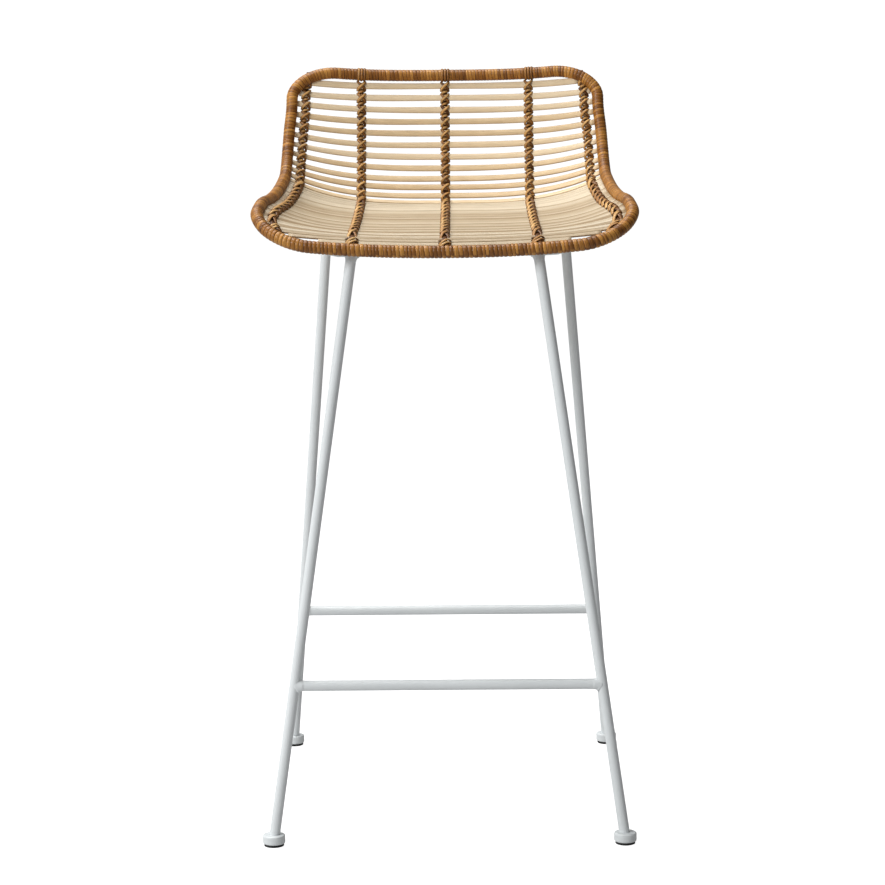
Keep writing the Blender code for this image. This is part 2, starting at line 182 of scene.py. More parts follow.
# Base: rod sizes and each leg's foot and top on the right, for the weld fillets
LEG_RADIUS = 0.006
BAR_RADIUS = 0.006
BAR_HEIGHT = 0.182
RING_RADIUS = 0.004
FOOT_HEIGHT = 0.0063
LEGS = {
    "front": ((0.199, -0.2215), (0.104, -0.1736, 0.6668)),
    "rear": ((0.202, 0.2215), (0.1435, 0.1204, 0.6896)),
}

# Weld fillets: how far each flares past its rod, and its length along the rod
BAR_WELD = (0.0032, 0.0042)
RING_WELD = (0.0030, 0.0050)
WELD_SKIN = 0.0001
WELD_RINGS = 9
WELD_POINTS = 32
WELD_HUG = 0.9


# ---- Shell surface ----


def middle_line_knots():
    steps = np.diff(STATIONS[:, :2] * (SHELL_DEPTH, BACK_HEIGHT), axis=0)
    return np.concatenate(([0.0], np.cumsum(np.linalg.norm(steps, axis=1))))


KNOTS = middle_line_knots()
SLOPES = np.gradient(STATIONS, KNOTS, axis=0)
SHELL_LENGTH = KNOTS[-1]


def station(s):
    """The columns of STATIONS at lengths s, from a smooth curve through its rows."""
    row = np.clip(np.searchsorted(KNOTS, s) - 1, 0, len(KNOTS) - 2)
    span = (KNOTS[row + 1] - KNOTS[row])[..., None]
    t = (s - KNOTS[row])[..., None] / span
    start = STATIONS[row] * (1 + 2 * t) + SLOPES[row] * span * t
    end = STATIONS[row + 1] * (3 - 2 * t) - SLOPES[row + 1] * span * (1 - t)
    return start * (1 - t) ** 2 + end * t**2


def shell(x, s):
    """Points of the shell at widths x and lengths s from the top rail."""
    x, s = np.broadcast_arrays(np.asarray(x, float), np.asarray(s, float))
    depth, height, width, wrap, lift, power = np.moveaxis(station(s), -1, 0)
    share = np.abs(x) / (width * SHELL_WIDTH / 2)
    y = SHELL_FRONT_Y + depth * SHELL_DEPTH - wrap * SIDE_WRAP * share**2
    z = SEAT_FRONT_HEIGHT + height * BACK_HEIGHT + lift * SIDE_LIFT * share**power
    return np.stack([x, y, z], axis=-1)


def unit(vectors):
    return vectors / np.linalg.norm(vectors, axis=-1, keepdims=True)


def shell_frame(x, s):
    """Unit vectors at a point of the shell: along x, along s, and out on the sitter's side."""
    step = 0.0005
    across = unit(shell(x + step, s) - shell(x - step, s))
    along = unit(shell(x, s + step) - shell(x, s - step))
    return across, along, unit(np.cross(along, across))


def corner_inset(distance, across, along):
    short = np.clip(1 - distance / along, 0.0, 1.0)
    return across * (1 - np.sqrt(1 - short**2))


def side_half_width(s):
    return station(s)[..., 2] * SHELL_WIDTH / 2


def rim_half_width(s):
    top = corner_inset(s, *TOP_CORNER)
    front = corner_inset(SHELL_LENGTH - s, *FRONT_CORNER)
    return side_half_width(s) - top - front


def rim_line():
    """The rim's closed centre line, from the middle of the front rail to the left."""
    fine = 400
    s = SHELL_LENGTH * (0.5 - 0.5 * np.cos(np.linspace(0.0, math.pi, fine + 1)))
    side = shell(-rim_half_width(s), s)[::-1]
    front = shell(np.linspace(0.0, side[0, 0], fine // 4)[:-1], np.array(SHELL_LENGTH))
    top = shell(np.linspace(side[-1, 0], 0.0, fine // 4)[1:], np.array(0.0))
    half = np.concatenate((front, side, top))
    return np.concatenate((half, (half * (-1, 1, 1))[::-1][1:]))


RIM = rim_line()
RIM_PLACE = np.concatenate(([0.0], np.cumsum(np.linalg.norm(np.diff(RIM, axis=0), axis=1))))
RIM_LENGTH = RIM_PLACE[-1]


def rim_at(place):
    place = np.mod(place, RIM_LENGTH)
    return np.stack([np.interp(place, RIM_PLACE, RIM[:, k]) for k in range(3)], axis=-1)


def rim_radius(points):
    near, far = RIM_TAPER
    share = np.clip((points[..., 1] - SHELL_FRONT_Y - near) / (far - near), 0.0, 1.0)
    ease = share * share * (3 - 2 * share)
    return RIM_FRONT_RADIUS + (RIM_BACK_RADIUS - RIM_FRONT_RADIUS) * ease


def reach_to_rim(s):
    """The width x at which the slat at length s has run a little way into the rim."""
    x = np.linspace(LEAST_REACH, float(rim_half_width(np.array(s))), REACH_STEPS)
    line = shell(x, np.array(s))
    gap = np.linalg.norm(line[:, None] - RIM[None, ::4], axis=-1).min(axis=1) - rim_radius(line)
    clear = x[gap > -RIM_OVERLAP]
    return float(clear[-1]) if len(clear) else LEAST_REACH


def outer_rib_x(s):
    turn = corner_inset(SHELL_LENGTH - s, OUTER_RIB_TURN, FRONT_CORNER[1])
    return side_half_width(s) - OUTER_RIB_INSET - turn


def back_slat_places():
    """The slats' middles, as lengths from the top rail. The lowest slats lie closer together."""
    index = np.arange(BACK_SLATS)
    even = np.minimum(index, EVEN_BACK_SLATS - 1)
    return FIRST_SLAT_DROP + even * BACK_SLAT_PITCH + (index - even) * LOWER_SLAT_PITCH


SLAT_PLACES = back_slat_places()

RIBS = {
    "centre": lambda s: np.zeros_like(s),
    "inner_left": lambda s: np.full_like(s, -INNER_RIB_X),
    "inner_right": lambda s: np.full_like(s, INNER_RIB_X),
    "outer_left": lambda s: -outer_rib_x(s),
    "outer_right": outer_rib_x,
}


# ---- Meshes ----


def add_mesh(name, verts, faces, uvs, tints, material, replaces=()):
    """A piece from arrays. uvs are metres along and across the fibre.

    tints has two shares a vertex: the strip's own tone, and how near its edge the vertex is, which the fibre
    materials turn into painted shade."""
    mesh = bpy.data.meshes.new(name)
    mesh.from_pydata(verts.tolist(), [], faces)
    loops = np.empty(len(mesh.loops), np.int32)
    mesh.loops.foreach_get("vertex_index", loops)
    layer = mesh.uv_layers.new(name="fibre")
    layer.data.foreach_set("uv", uvs[loops].astype(np.float32).ravel())
    colours = mesh.color_attributes.new("tint", "FLOAT_COLOR", "POINT")
    rgba = np.concatenate([tints, np.zeros((len(tints), 1)), np.ones((len(tints), 1))], axis=1)
    colours.data.foreach_set("color", rgba.astype(np.float32).ravel())
    mesh.materials.append(material)
    mesh.shade_smooth()
    obj = bpy.data.objects.new(name, mesh)
    bpy.context.scene.collection.objects.link(obj)
    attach(obj, "root")
    if replaces:
        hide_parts(*replaces)
    return obj


class Builder:
    """Collects grids of points into one mesh."""

    def __init__(self):
        self.verts, self.faces, self.uvs, self.tints, self.count = [], [], [], [], 0

    def grid(self, points, uv, tint, around=False, caps=False):
        rows, columns = points.shape[:2]
        index = np.arange(rows * columns).reshape(rows, columns) + self.count
        right = np.roll(index, -1, axis=1) if around else index[:, 1:]
        left = index if around else index[:, :-1]
        quads = np.stack([left[:-1], left[1:], right[1:], right[:-1]], axis=-1).reshape(-1, 4)
        self.faces += quads.tolist()
        if caps:
            self.faces += [index[0].tolist(), index[-1][::-1].tolist()]
        self.verts.append(points.reshape(-1, 3))
        self.uvs.append(np.broadcast_to(uv, (rows, columns, 2)).reshape(-1, 2))
        self.tints.append(np.broadcast_to(tint, (rows, columns, 2)).reshape(-1, 2))
        self.count += rows * columns

    def build(self, name, material, replaces=()):
        data = [np.concatenate(part) for part in (self.verts, self.uvs, self.tints)]
        return add_mesh(name, data[0], self.faces, data[1], data[2], material, replaces)


def turn_places(start, end, pitch_at, jitter):
    """Where each turn of a wrapping starts, with one more turn before the start and one past the end."""
    places = [start]
    while places[-1] < end:
        places.append(places[-1] + pitch_at(places[-1]) * (1 + jitter * rng.uniform(-1, 1)))
    places = np.array(places)
    places = start + (places - start) * (end - start) / (places[-1] - start)
    return np.concatenate(([2 * places[0] - places[1]], places, [2 * places[-1] - places[-2]]))


def add_wrapping(builder, line_at, out_at, start, end, pitch_at, radius_at, crown_at, sides, jitter):
    """One long strip of peel wound round a line, with crowned turns laid edge to edge."""
    places = turn_places(start, end, pitch_at, jitter)
    turns = len(places) - 2
    place = np.arange(turns * sides + 1) / sides
    turn = np.minimum(place.astype(int), turns - 1)
    low = places[turn] + (places[turn + 1] - places[turn]) * (place - turn)
    high = places[turn + 1] + (places[turn + 2] - places[turn + 1]) * (place - turn)
    across = np.linspace(-1.0, 1.0, PEEL_COLUMNS)
    spot = (low + high)[:, None] / 2 + (high - low)[:, None] / 2 * across
    spot = np.clip(spot, start, end)
    centre = line_at(spot)
    tangent = unit(line_at(spot + LINE_STEP) - line_at(spot - LINE_STEP))
    out = out_at(spot, centre)
    out = unit(out - tangent * np.sum(out * tangent, axis=-1, keepdims=True))
    side = np.cross(tangent, out)
    angle = (2 * math.pi * place)[:, None, None]
    depth = crown_at(spot) * np.abs(across) ** CROWN_POWER
    radius = (radius_at(centre) - depth)[..., None]
    points = centre + radius * (np.cos(angle) * out + np.sin(angle) * side)
    tone = rng.uniform(0, 1, (2, turns + 1))[0][turn][:, None]
    # The second share, how near a turn's edge a vertex is, becomes painted shade in the creases between turns.
    tint = np.stack(np.broadcast_arrays(tone, np.abs(across)[None]), axis=-1)
    along = (2 * math.pi * place)[:, None] * radius_at(centre)
    uv = np.stack([along, spot + 0.37 * turn[:, None]], axis=-1)
    builder.grid(points, uv, tint)


def add_strand(builder, x_at, s0, route, width, thickness, tone):
    """A flat strand of peel. route is rows of (offset in x, offset in s, height over the shell)."""
    route = np.array(route)
    fine = np.linspace(0, len(route) - 1, 4 * (len(route) - 1) + 1)
    row = np.minimum(fine.astype(int), len(route) - 2)
    t = (fine - row)[:, None]
    before = route[np.maximum(row - 1, 0)]
    after = route[np.minimum(row + 2, len(route) - 1)]
    a, b = route[row], route[row + 1]
    path = 0.5 * (2 * a + (b - before) * t + (2 * before - 5 * a + 4 * b - after) * t**2
                  + (3 * a - before - 3 * b + after) * t**3)
    s = s0 + path[:, 1]
    x = x_at(s) + path[:, 0]
    _, _, normal = shell_frame(x, s)
    points = shell(x, s) + normal * path[:, 2:3]
    tangent = unit(np.gradient(points, axis=0))
    side = unit(np.cross(tangent, normal))
    up = np.cross(side, tangent)
    angle = np.linspace(0, 2 * math.pi, STRAND_SIDES, endpoint=False)
    ring = side[:, None] * (np.cos(angle) * width / 2)[None, :, None]
    ring = ring + up[:, None] * (np.sin(angle) * thickness / 2)[None, :, None]
    length = np.concatenate(([0.0], np.cumsum(np.linalg.norm(np.diff(points, axis=0), axis=1))))
    uv = np.stack(np.broadcast_arrays(length[:, None] + tone, (angle * width / 4)[None]), axis=-1)
    # The strand's sides take the material's painted shade.
    edge = np.abs(np.cos(angle))[None] * np.ones((len(points), 1))
    tint = np.stack([np.full_like(edge, tone), edge], axis=-1)
    builder.grid(points[:, None] + ring, uv, tint, around=True, caps=True)


def add_slat(builder, s, width, reach, tone, wander):
    """A cane slat across the shell: nearly flat behind, crowned in front."""
    x = np.linspace(-reach, reach, SLAT_COLUMNS)
    angle = np.linspace(0, 2 * math.pi, SLAT_SIDES, endpoint=False)
    across = np.sign(np.cos(angle)) * np.abs(np.cos(angle)) ** 0.6
    height = np.where(np.sin(angle) > 0, np.sin(angle) ** 0.8, -np.abs(np.sin(angle)) ** 0.35)
    wave = wander * np.sin(x * rng.uniform(12, 22) + rng.uniform(0, 6))
    swell = 1 + 0.05 * np.sin(x * rng.uniform(20, 35) + rng.uniform(0, 6))
    offset = across[None] * width / 2 * swell[:, None]
    place = s + wave[:, None] + offset
    _, _, normal = shell_frame(x, np.full(SLAT_COLUMNS, s))
    points = shell(x[:, None] * np.ones_like(place), place)
    points = points + normal[:, None] * (height * SLAT_THICKNESS / 2)[None, :, None]
    uv = np.stack(np.broadcast_arrays(x[:, None] + tone * 3, offset), axis=-1)
    # The slat's edges take the material's painted shade, for the shade between slats.
    edge = np.abs(across)[None] * np.ones((SLAT_COLUMNS, 1))
    tint = np.stack([np.full_like(edge, tone), edge], axis=-1)
    builder.grid(points, uv, tint, around=True, caps=True)


# ---- Materials ----


class Nodes:
    """A short way to write a node material."""

    def __init__(self, name):
        self.material = bpy.data.materials.new(name)
        self.material.use_nodes = True
        self.tree = self.material.node_tree
        self.shader = self.tree.nodes["Principled BSDF"]

    def add(self, kind, inputs=None, **settings):
        node = self.tree.nodes.new(kind)
        for key, value in settings.items():
            setattr(node, key, value)
        for key, value in (inputs or {}).items():
            if isinstance(value, bpy.types.NodeSocket):
                self.tree.links.new(value, node.inputs[key])
            else:
                node.inputs[key].default_value = value
        return node

    def link(self, output, socket):
        self.tree.links.new(output, self.shader.inputs[socket])

    def ramp(self, value, stops):
        node = self.add("ShaderNodeValToRGB", {"Fac": value})
        while len(node.color_ramp.elements) < len(stops):
            node.color_ramp.elements.new(0.5)
        for element, (place, colour) in zip(node.color_ramp.elements, stops):
            element.position = place
            element.color = (*colour, 1.0)
        return node.outputs["Color"]

    def noise(self, vector, scale, detail=2.0, roughness=0.5):
        inputs = {"Vector": vector, "Scale": scale, "Detail": detail, "Roughness": roughness}
        return self.add("ShaderNodeTexNoise", inputs).outputs["Fac"]

    def stretched(self, vector, scale):
        inputs = {"Vector": vector, "Scale": scale}
        return self.add("ShaderNodeMapping", inputs).outputs["Vector"]

    def mix(self, factor, a, b, blend="MIX"):
        node = self.add("ShaderNodeMix", data_type="RGBA", blend_type=blend)
        for key, value in ((0, factor), (6, a), (7, b)):
            if isinstance(value, bpy.types.NodeSocket):
                self.tree.links.new(value, node.inputs[key])
            elif key == 0:
                node.inputs[key].default_value = value
            else:
                node.inputs[key].default_value = (*value, 1.0)
        return node.outputs[2]

    def maths(self, operation, a, b=0.0):
        node = self.add("ShaderNodeMath", operation=operation)
        for key, value in enumerate((a, b)):
            if isinstance(value, bpy.types.NodeSocket):
                self.tree.links.new(value, node.inputs[key])
            else:
                node.inputs[key].default_value = value
        return node.outputs[0]

    def bump(self, height, strength, distance):
        inputs = {"Height": height, "Strength": strength, "Distance": distance}
        self.link(self.add("ShaderNodeBump", inputs).outputs["Normal"], "Normal")


def fibre_material(name, tones, crease_shade_stops, streak, roughness, across_scale, tone_share=0.6):
    """Peel or cane: a tone for each strip, fine streaks along it, and edges darkened as painted shade in the
    creases between strips.
    """
    n = Nodes(name)
    tint = n.add("ShaderNodeVertexColor", layer_name="tint").outputs["Color"]
    split = n.add("ShaderNodeSeparateColor", {"Color": tint})
    uv = n.add("ShaderNodeUVMap", uv_map="fibre").outputs["UV"]
    streaks = n.noise(n.stretched(uv, (22.0, across_scale, 1.0)), 1.0, 4.0, 0.62)
    blotch = n.noise(n.stretched(uv, (45.0, 90.0, 1.0)), 1.0, 2.0)
    own = n.maths("MULTIPLY", split.outputs["Red"], tone_share)
    base = n.ramp(n.maths("ADD", own, n.maths("MULTIPLY", blotch, 1.0 - tone_share)), tones)
    streak_tone = n.ramp(streaks, ((0.34, (streak, streak, streak)), (0.60, (1.0, 1.0, 1.0))))
    colour = n.mix(1.0, base, streak_tone, "MULTIPLY")
    # painted shade: the second tint share darkens each strip towards its edges, for the shade in the creases
    edge = n.ramp(split.outputs["Green"], crease_shade_stops)
    n.link(n.mix(1.0, colour, edge, "MULTIPLY"), "Base Color")
    rough = n.maths("ADD", n.maths("MULTIPLY", streaks, 0.25), roughness - 0.12)
    n.link(rough, "Roughness")
    n.bump(streaks, 0.35, 0.0004)
    n.shader.inputs["Specular IOR Level"].default_value = 0.30
    return n.material


def powder_coat():
    n = Nodes("white_powder_coat")
    place = n.add("ShaderNodeTexCoord").outputs["Object"]
    grain = n.noise(place, 1500.0, 3.0, 0.6)
    cloud = n.noise(place, 9.0, 3.0)
    n.link(n.ramp(cloud, ((0.30, (0.74, 0.775, 0.785)), (0.70, (0.79, 0.825, 0.835)))), "Base Color")
    n.link(n.maths("ADD", n.maths("MULTIPLY", grain, 0.18), 0.30), "Roughness")
    n.bump(grain, 0.12, 0.0003)
    n.shader.inputs["Coat Weight"].default_value = 0.15
    n.shader.inputs["Coat Roughness"].default_value = 0.25
    return n.material


def rubber():
    n = Nodes("black_rubber")
    place = n.add("ShaderNodeTexCoord").outputs["Object"]
    grain = n.noise(place, 900.0, 3.0, 0.6)
    n.link(n.ramp(grain, ((0.3, (0.008, 0.008, 0.008)), (0.7, (0.022, 0.022, 0.022)))), "Base Color")
    n.link(n.maths("ADD", n.maths("MULTIPLY", grain, 0.2), 0.6), "Roughness")
    n.bump(grain, 0.3, 0.0004)
    return n.material


# The second ramp of each fibre material is painted shade: the colour its strips darken to at their edges.
PEEL = fibre_material(
    "rattan_peel",
    ((0.12, (0.20, 0.072, 0.013)), (0.45, (0.40, 0.160, 0.028)), (0.85, (0.66, 0.315, 0.068))),
    ((0.74, (1.0, 1.0, 1.0)), (1.0, (0.30, 0.20, 0.13))),
    streak=0.42,
    roughness=0.36,
    across_scale=900.0,
)
LASHING = fibre_material(
    "lashing_peel",
    ((0.12, (0.12, 0.044, 0.009)), (0.50, (0.42, 0.185, 0.045)), (0.86, (0.78, 0.460, 0.165))),
    ((0.55, (1.0, 1.0, 1.0)), (1.0, (0.18, 0.10, 0.05))),
    streak=0.60,
    roughness=0.40,
    across_scale=1600.0,
    tone_share=0.78,
)
CANE = fibre_material(
    "cane_slat",
    ((0.05, (0.36, 0.250, 0.135)), (0.45, (0.56, 0.445, 0.295)), (0.95, (0.74, 0.640, 0.480))),
    ((0.80, (1.0, 1.0, 1.0)), (1.0, (0.55, 0.44, 0.33))),
    streak=0.80,
    roughness=0.48,
    across_scale=1500.0,
)
# painted light: the back's slats are the same cane as the seat's, given a lighter copy of it in place of the
# light that falls on the back
BACK_CANE_PAINTED_LIGHTER = fibre_material(
    "back_cane_slat_painted_lighter",
    ((0.05, (0.60, 0.410, 0.215)), (0.45, (0.80, 0.610, 0.375)), (0.95, (0.93, 0.770, 0.545))),
    ((0.80, (1.0, 1.0, 1.0)), (1.0, (0.60, 0.48, 0.35))),
    streak=0.84,
    roughness=0.48,
    across_scale=1500.0,
)
POWDER_COAT = powder_coat()
RUBBER = rubber()


# ---- Pieces ----


def rim_out(spot, centre):
    return centre - np.array((0.0, 0.0, RIM_MIDDLE_HEIGHT))


def rim_turn_width(place):
    """Wide turns along the front rail and round its corners, finer ones up the sides and over the top."""
    y = rim_at(np.array(place))[1] - SHELL_FRONT_Y
    share = min(1.0, max(0.0, (y - NARROWING[0]) / NARROWING[1]))
    return FRONT_TURN_WIDTH + (BACK_TURN_WIDTH - FRONT_TURN_WIDTH) * share


def rim_crown(spot):
    y = rim_at(spot)[..., 1] - SHELL_FRONT_Y
    share = np.clip((y - FLATTENING[0]) / FLATTENING[1], 0.0, 1.0)
    return FRONT_TURN_CROWN + (BACK_TURN_CROWN - FRONT_TURN_CROWN) * share


def make_rim():
    shares = {
        "front": (-FRONT_SHARE, FRONT_SHARE),
        "left": (FRONT_SHARE, SIDE_SHARE),
        "top": (SIDE_SHARE, 1 - SIDE_SHARE),
        "right": (1 - SIDE_SHARE, 1 - FRONT_SHARE),
    }
    for side, (first, last) in shares.items():
        builder = Builder()
        add_wrapping(
            builder, rim_at, rim_out, first * RIM_LENGTH, last * RIM_LENGTH, rim_turn_width,
            rim_radius, rim_crown, RIM_TURN_POINTS, RIM_TURN_JITTER,
        )
        builder.build(f"peel_rim_{side}", PEEL, [f"rim_wrap_{side}"])


def make_back_slats():
    for index, s in enumerate(SLAT_PLACES):
        builder = Builder()
        add_slat(builder, s, BACK_SLAT_SHOWN, reach_to_rim(s), rng.uniform(0.0, 1.0), BACK_SLAT_WANDER)
        builder.build(f"cane_back_slat_{index + 1:02d}", BACK_CANE_PAINTED_LIGHTER, [f"back_slat_{index + 1:02d}"])


def make_seat_slats():
    start = SLAT_PLACES[-1] + BACK_SLAT_WIDTH / 2 + SEAT_START_GAP
    end = SHELL_LENGTH - RIM_FRONT_RADIUS - SEAT_END_GAP
    seat_slats = SEAT_MATS * SLATS_PER_MAT
    pitch = (end - start) / seat_slats
    tone = 0.5
    for mat in range(SEAT_MATS):
        builder = Builder()
        for k in range(SLATS_PER_MAT):
            index = mat * SLATS_PER_MAT + k
            s = start + (index + 0.5) * pitch
            seam = DARK_SLAT_DROP if rng.random() < DARK_SLAT_CHANCE else 0.0
            tone = 0.3 * tone + 0.7 * rng.uniform(0.1, 1.3) - seam
            reach = reach_to_rim(s) - CORNER_GAPS.get(seat_slats - index, 0.0)
            add_slat(builder, s, pitch * SEAT_SLAT_SHARE, reach, tone, 0.0)
        builder.build(f"cane_seat_mat_{mat + 1}", CANE, [f"seat_slats_{mat + 1}"])


def rib_span(name):
    s = np.linspace(0.0, SHELL_LENGTH, 400)
    x = RIBS[name](s)
    points = shell(x, s)
    gap = np.linalg.norm(points[:, None] - RIM[None, ::3], axis=-1).min(axis=1) - rim_radius(points)
    clear = s[gap > 0.0]
    return float(clear[0]), float(clear[-1])


def make_ribs():
    for name, x_at in RIBS.items():
        first, last = rib_span(name)

        def line_at(spot, x_at=x_at):
            x = x_at(spot)
            return shell(x, spot) - shell_frame(x, spot)[2] * RIB_DEPTH

        def out_at(spot, centre, x_at=x_at):
            return shell_frame(x_at(spot), spot)[2]

        builder = Builder()
        add_wrapping(
            builder, line_at, out_at, first + RIB_ENDS[0], last - RIB_ENDS[1],
            lambda place: RIB_TURN_WIDTH,
            lambda centre: np.full(centre.shape[:-1], RIB_RADIUS), lambda spot: RIB_TURN_CROWN,
            RIB_TURN_POINTS, RIB_TURN_JITTER,
        )
        builder.build(f"peel_rib_{name}", LASHING, [f"rib_{name}"])


def add_cross(builder, x_at, place, half, reach, top, low, width, tones):
    """Two strands that cross over the rib: the lower one first, and the upper one on top of it."""
    for turn, tone in enumerate(tones):
        side = 1 if turn else -1
        height = top - UPPER_STRAND_LIFT * (1 - turn)
        route = (
            (side * (half + 0.0002), -reach - 0.0006, low),
            (side * half, -reach * 0.74, (low + 2 * height) / 3 * 0.55),
            (side * half * 0.52, -reach * 0.34, height * 0.90),
            (-side * half * 0.04, reach * 0.04, height),
            (-side * half * 0.60, reach * 0.42, height * 0.88),
            (-side * half, reach * 0.78, (low + 2 * height) / 3 * 0.55),
            (-side * (half + 0.0002), reach + 0.0006, low),
        )
        add_strand(builder, x_at, place, route, width * rng.uniform(0.88, 1.12), STRAND_THICKNESS, tone)


def add_knob(builder, x_at, place, tone):
    """One turn of peel round the bare rib between two slats."""
    half = KNOB_HALF
    route = (
        (half * 0.85, -0.0016, -0.0066),
        (half, -0.0012, -0.0035),
        (half * 0.62, -0.0006, -0.0006),
        (0.0, 0.0, 0.0006),
        (-half * 0.62, 0.0006, -0.0006),
        (-half, 0.0012, -0.0035),
        (-half * 0.85, 0.0016, -0.0066),
    )
    add_strand(builder, x_at, place, route, KNOB_WIDTH, STRAND_THICKNESS, tone)


def add_back_lashing(builder, x_at):
    """A cross at every slat, and a knob between slats where they lie far enough apart for one."""
    for index, place in enumerate(SLAT_PLACES):
        # painted shade and light: the lower strand gets a dark tone as shade, the upper strand a light tone as
        # light
        tones = (rng.uniform(0.0, 0.45), rng.uniform(0.65, 1.0))
        add_cross(
            builder, x_at, place, BACK_CROSS_HALF, BACK_CROSS_REACH, BACK_CROSS_TOP, BACK_CROSS_LOW,
            BACK_STRAND_WIDTH, tones,
        )
        if index + 1 < EVEN_BACK_SLATS:
            between = (place + SLAT_PLACES[index + 1]) / 2
            add_knob(builder, x_at, between + KNOB_SHIFT, rng.uniform(0.45, 1.0))


def add_seat_lashing(builder, x_at, start, end):
    """A rope-like ridge, wider at the front end: pairs of strands that cross over a rounded core painted dark
    as shade.
    """
    count = max(2, round((end - start) / SEAT_STRAND_PITCH))
    places = np.linspace(start, end, count)
    # painted shade: the core under the strands takes tone 0.0, the lashing's darkest
    core = [(0.0, s - start, RIDGE_HEIGHT * CORE_LEVEL) for s in np.linspace(start, end, 3 * count)]
    add_strand(builder, x_at, start, core, RIDGE_WIDTH * CORE_WIDTH, RIDGE_HEIGHT * CORE_THICKNESS, 0.0)
    for place in places:
        spread = 1.0 + TAIL_SPREAD * max(0.0, 1.0 - (end - place) / TAIL_SPREAD_LENGTH)
        half = RIDGE_WIDTH / 2 * spread
        reach = min(SEAT_STRAND_REACH, end - place + SEAT_LASHING_TAIL)
        for shift in SEAT_STRAND_SHIFTS:
            # painted shade and light: the lower strand of each pair gets a dark tone, the upper one a light
            # tone
            tones = (rng.uniform(0.0, 0.4), rng.uniform(0.5, 1.0))
            add_cross(
                builder, x_at, place + shift, half, reach, RIDGE_HEIGHT, RIDGE_LOW, SEAT_STRAND_WIDTH, tones
            )


def add_rim_tie(builder, x, tone):
    """Turns of peel over the top rail, where a rib's lashing starts."""
    off_top_rail = RIM[:, 2] < TOP_RAIL_LOW
    place = RIM_PLACE[np.argmin(np.abs(RIM[:, 0] - x) + 10 * off_top_rail)]
    for turn in range(TIE_TURNS):
        shift = TIE_PITCH * (turn - (TIE_TURNS - 1) / 2)
        spots = np.array([place + shift + TIE_STAGGER * turn])
        centre = rim_at(spots)[0]
        tangent = unit(rim_at(spots + 0.001) - rim_at(spots - 0.001))[0]
        out = unit(np.array((0.0, -1.0, 0.0)) - tangent * -tangent[1])
        side = np.cross(tangent, out)
        angle = np.linspace(0, 2 * math.pi, TIE_POINTS, endpoint=False)[:, None, None]
        across = np.linspace(-1.0, 1.0, PEEL_COLUMNS)[None, :, None]
        radius = RIM_BACK_RADIUS + TIE_RISE - TIE_CROWN * np.abs(across) ** CROWN_POWER
        points = centre + radius * (np.cos(angle) * out + np.sin(angle) * side)
        points = points + tangent * across * TIE_HALF_WIDTH
        points = np.concatenate((points, points[:1]))
        around = np.concatenate((angle[:, 0, 0], [2 * math.pi]))[:, None] * RIM_BACK_RADIUS
        # Each turn's edges take the material's painted shade.
        edge = np.abs(across[..., 0]) * np.ones((len(points), 1))
        uv = np.stack(np.broadcast_arrays(around, across[..., 0] * TIE_HALF_WIDTH), axis=-1)
        level = np.full_like(edge, tone * (1.0 - TIE_DARKENING * turn))
        builder.grid(points, uv, np.stack([level, edge], axis=-1))


def make_lashings():
    for name, x_at in RIBS.items():
        builder = Builder()
        _, last = rib_span(name)
        add_back_lashing(builder, x_at)
        add_seat_lashing(builder, x_at, SLAT_PLACES[-1] + SEAT_LASHING_START, last - SEAT_LASHING_END)
        if not name.startswith("outer"):
            add_rim_tie(builder, float(x_at(np.array(0.0))), rng.uniform(0.45, 0.65))
        builder.build(f"strands_{name}", LASHING, [f"lashing_{name}"])


def add_fillet(builder, joint, along, other, radius, other_radius, flare, length):
    """Weld metal where a rod, which leaves joint in the direction along, meets the other rod."""
    along = unit(np.array(along))
    other = np.array(other)
    spread = unit(other - along * np.dot(other, along))
    level = np.cross(along, spread)
    t = np.linspace(0.0, 1.0, WELD_RINGS)[:, None]
    angle = np.linspace(0, 2 * math.pi, WELD_POINTS, endpoint=False)[None]
    wide = radius + WELD_SKIN + flare * (1 - np.sqrt(1 - (1 - t) ** 2))
    aside = (radius + WELD_SKIN) * np.sin(angle)
    hug = np.sqrt(np.maximum(other_radius**2 - aside**2, 0.0)) * WELD_HUG
    reach = hug * (1 - t) + (other_radius + length) * t
    points = np.array(joint) + along * reach[..., None] + spread * (wide * np.cos(angle))[..., None]
    points = points + level * (aside * np.ones_like(t))[..., None]
    builder.grid(points, np.zeros(2), np.full(2, 0.5), around=True, caps=True)


def make_welds():
    for end, (foot, top) in LEGS.items():
        builder = Builder()
        for side in (-1, 1):
            low = np.array((side * foot[0], foot[1], FOOT_HEIGHT))
            high = np.array((side * top[0], top[1], top[2]))
            joint = low + (high - low) * (BAR_HEIGHT - low[2]) / (high[2] - low[2])
            add_fillet(builder, joint, (-side, 0, 0), high - low, BAR_RADIUS, LEG_RADIUS, *BAR_WELD)
            add_fillet(builder, high, low - high, (1, 0, 0), LEG_RADIUS, RING_RADIUS, *RING_WELD)
        welds = builder.build(f"welds_{end}", POWDER_COAT)


def dress_metal():
    for name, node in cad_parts.items():
        if name.startswith("foot_pad"):
            material = RUBBER
        elif name.startswith(("leg_", "footrest", "crossbar", "under_seat", "foot_cap", "rim_core")):
            material = POWDER_COAT
        else:
            continue
        node.data.materials.clear()
        node.data.materials.append(material)


# ---- Studio ----

# The floor's own light: what lights the object from below, and what the camera sees
FLOOR_GLOW = 0.10
FLOOR_SEEN = 0.90
FLOOR_HALF_SIZE = 12.0

# The room's light fades from the left to the right, and the camera sees it white
ROOM_LEFT = 0.62
ROOM_RIGHT = 0.0
ROOM_SEEN = 1.05

# Lights: place, diameter and power, all aimed at the stool's upper half
LIGHTS = {
    "key": ((-3.0, -2.4, 2.6), 1.6, 100.0),
    "top": ((-0.7, 0.5, 3.2), 2.2, 75.0),
}
LIGHT_TARGET = (0.0, 0.0, 0.6)

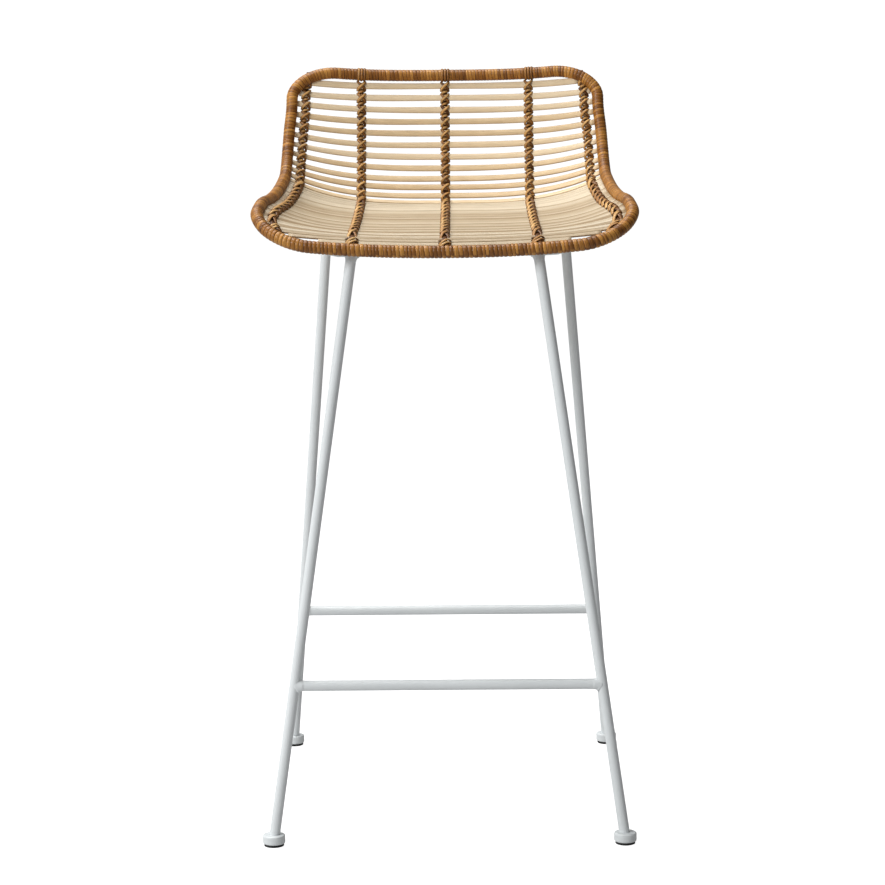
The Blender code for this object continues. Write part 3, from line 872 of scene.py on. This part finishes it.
# Camera: metres, millimetres, and turns in radians
CAMERA_PLACE = (0.0125, -3.1615, 0.898)
CAMERA_LENS = 109.1
CAMERA_PITCH = math.radians(8.468)
CAMERA_YAW = -0.0057
CAMERA_ROLL = -0.0086


def make_floor():
    mesh = bpy.data.meshes.new("studio_floor")
    size = FLOOR_HALF_SIZE
    corners = ((-size, -size, 0), (size, -size, 0), (size, size, 0), (-size, size, 0))
    mesh.from_pydata(corners, [], [(0, 1, 2, 3)])
    floor = bpy.data.objects.new("studio_floor", mesh)
    bpy.context.scene.collection.objects.link(floor)
    n = Nodes("studio_floor")
    place = n.add("ShaderNodeTexCoord").outputs["Object"]
    n.link(n.ramp(n.noise(place, 2.0), ((0.3, (0.43, 0.43, 0.43)), (0.7, (0.45, 0.45, 0.45)))), "Base Color")
    n.shader.inputs["Roughness"].default_value = 0.9
    n.shader.inputs["Specular IOR Level"].default_value = 0.0
    n.shader.inputs["Emission Color"].default_value = (1, 1, 1, 1)
    seen = n.add("ShaderNodeLightPath").outputs["Is Camera Ray"]
    glow = n.maths("ADD", n.maths("MULTIPLY", seen, FLOOR_SEEN - FLOOR_GLOW), FLOOR_GLOW)
    n.link(glow, "Emission Strength")
    mesh.materials.append(n.material)


def add_area(name, place, size, power):
    data = bpy.data.lights.new(name, "AREA")
    data.shape = "DISK"
    data.size = size
    data.energy = power
    light = bpy.data.objects.new(name, data)
    light.location = place
    light.rotation_euler = (Vector(LIGHT_TARGET) - Vector(place)).to_track_quat("-Z", "Y").to_euler()
    bpy.context.scene.collection.objects.link(light)


def make_world():
    world = bpy.data.worlds.new("studio")
    bpy.context.scene.world = world
    world.use_nodes = True
    tree = world.node_tree
    back = tree.nodes["Background"]
    coordinates = tree.nodes.new("ShaderNodeTexCoord")
    split = tree.nodes.new("ShaderNodeSeparateXYZ")
    tree.links.new(coordinates.outputs["Generated"], split.inputs[0])
    ramp = tree.nodes.new("ShaderNodeMapRange")
    ramp.inputs["From Min"].default_value = -1.0
    ramp.inputs["From Max"].default_value = 1.0
    ramp.inputs["To Min"].default_value = ROOM_LEFT
    ramp.inputs["To Max"].default_value = ROOM_RIGHT
    tree.links.new(split.outputs["X"], ramp.inputs["Value"])
    path = tree.nodes.new("ShaderNodeLightPath")
    mix = tree.nodes.new("ShaderNodeMix")
    tree.links.new(path.outputs["Is Camera Ray"], mix.inputs[0])
    tree.links.new(ramp.outputs["Result"], mix.inputs[2])
    mix.inputs[3].default_value = ROOM_SEEN
    tree.links.new(mix.outputs[0], back.inputs["Strength"])
    back.inputs["Color"].default_value = (1.0, 1.0, 1.0, 1.0)


def make_camera():
    data = bpy.data.cameras.new("camera")
    data.sensor_width = 36.0
    data.lens = CAMERA_LENS
    data.clip_end = 60.0
    camera = bpy.data.objects.new("camera", data)
    bpy.context.scene.collection.objects.link(camera)
    pitch, yaw, roll = CAMERA_PITCH, CAMERA_YAW, CAMERA_ROLL
    forward = Vector((math.sin(yaw) * math.cos(pitch), math.cos(yaw) * math.cos(pitch), -math.sin(pitch)))
    right = Vector((math.cos(yaw), -math.sin(yaw), 0.0))
    up = right.cross(forward)
    tilted_right = right * math.cos(roll) + up * math.sin(roll)
    tilted_up = up * math.cos(roll) - right * math.sin(roll)
    turn = Matrix((tilted_right, tilted_up, -forward)).transposed().to_4x4()
    camera.matrix_world = Matrix.Translation(CAMERA_PLACE) @ turn
    bpy.context.scene.camera = camera


make_camera()
make_rim()
make_back_slats()
make_seat_slats()
make_ribs()
make_lashings()
make_welds()
dress_metal()
make_floor()
make_world()
for light_name, light_values in LIGHTS.items():
    add_area(light_name, *light_values)
bpy.context.scene.view_settings.view_transform = "Standard"
